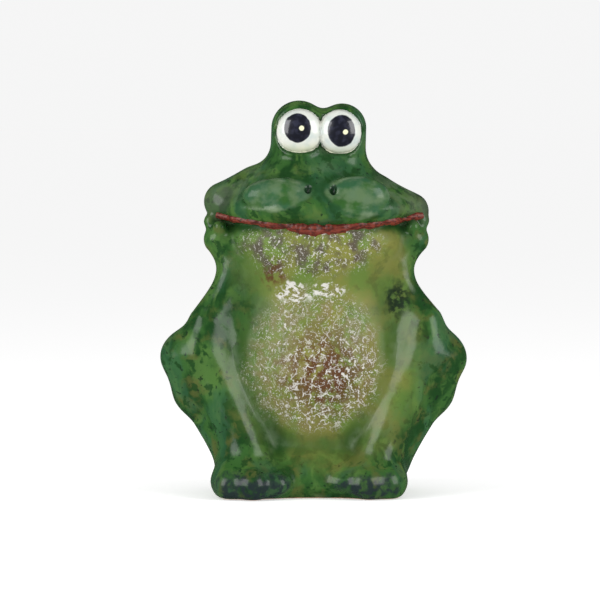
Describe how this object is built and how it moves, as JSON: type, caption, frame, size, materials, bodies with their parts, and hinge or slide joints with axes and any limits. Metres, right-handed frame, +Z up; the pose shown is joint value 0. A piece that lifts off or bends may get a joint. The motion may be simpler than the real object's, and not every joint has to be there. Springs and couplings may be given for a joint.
{
  "type": "ceramic frog money bank",
  "caption": "Seated glazed ceramic frog, chin in its hands and elbows on its knees, hollow, with a coin slot in the back and a rubber stopper in the base.",
  "frame": {"origin": "on the table, under the middle of the figure's box", "axes": "+Z up along the figure's height, -Y towards the face, +X to the right of a viewer who faces the frog"},
  "size_m": [0.1354, 0.0921, 0.1775],
  "materials": {
    "green_glaze": "glossy, mottled",
    "olive_glaze": "glossy, with white crackle",
    "eye_enamel": "glossy",
    "lip_enamel": "glossy",
    "bare_clay": "matte, unglazed",
    "stopper_rubber": "matte"
  },
  "bodies": {
    "figure": {"belly_shell": "olive_glaze", "back_shell": "green_glaze", "head_shell": "green_glaze", "eye_left": "eye_enamel", "eye_right": "eye_enamel", "lip_bead": "lip_enamel", "arm_left": "green_glaze", "arm_right": "green_glaze", "hand_left": "green_glaze", "hand_right": "green_glaze", "thigh_left": "green_glaze", "thigh_right": "green_glaze", "shin_left": "green_glaze", "shin_right": "green_glaze", "foot_left": "green_glaze", "foot_right": "green_glaze", "base_disc": "bare_clay"},
    "stopper": {"stopper": "stopper_rubber"}
  },
  "joints": [
    {"name": "stopper_pull", "type": "slide", "parent": "figure", "child": "stopper", "axis": [0, 0, -1], "range_m": [0, 0.03]}
  ]
}
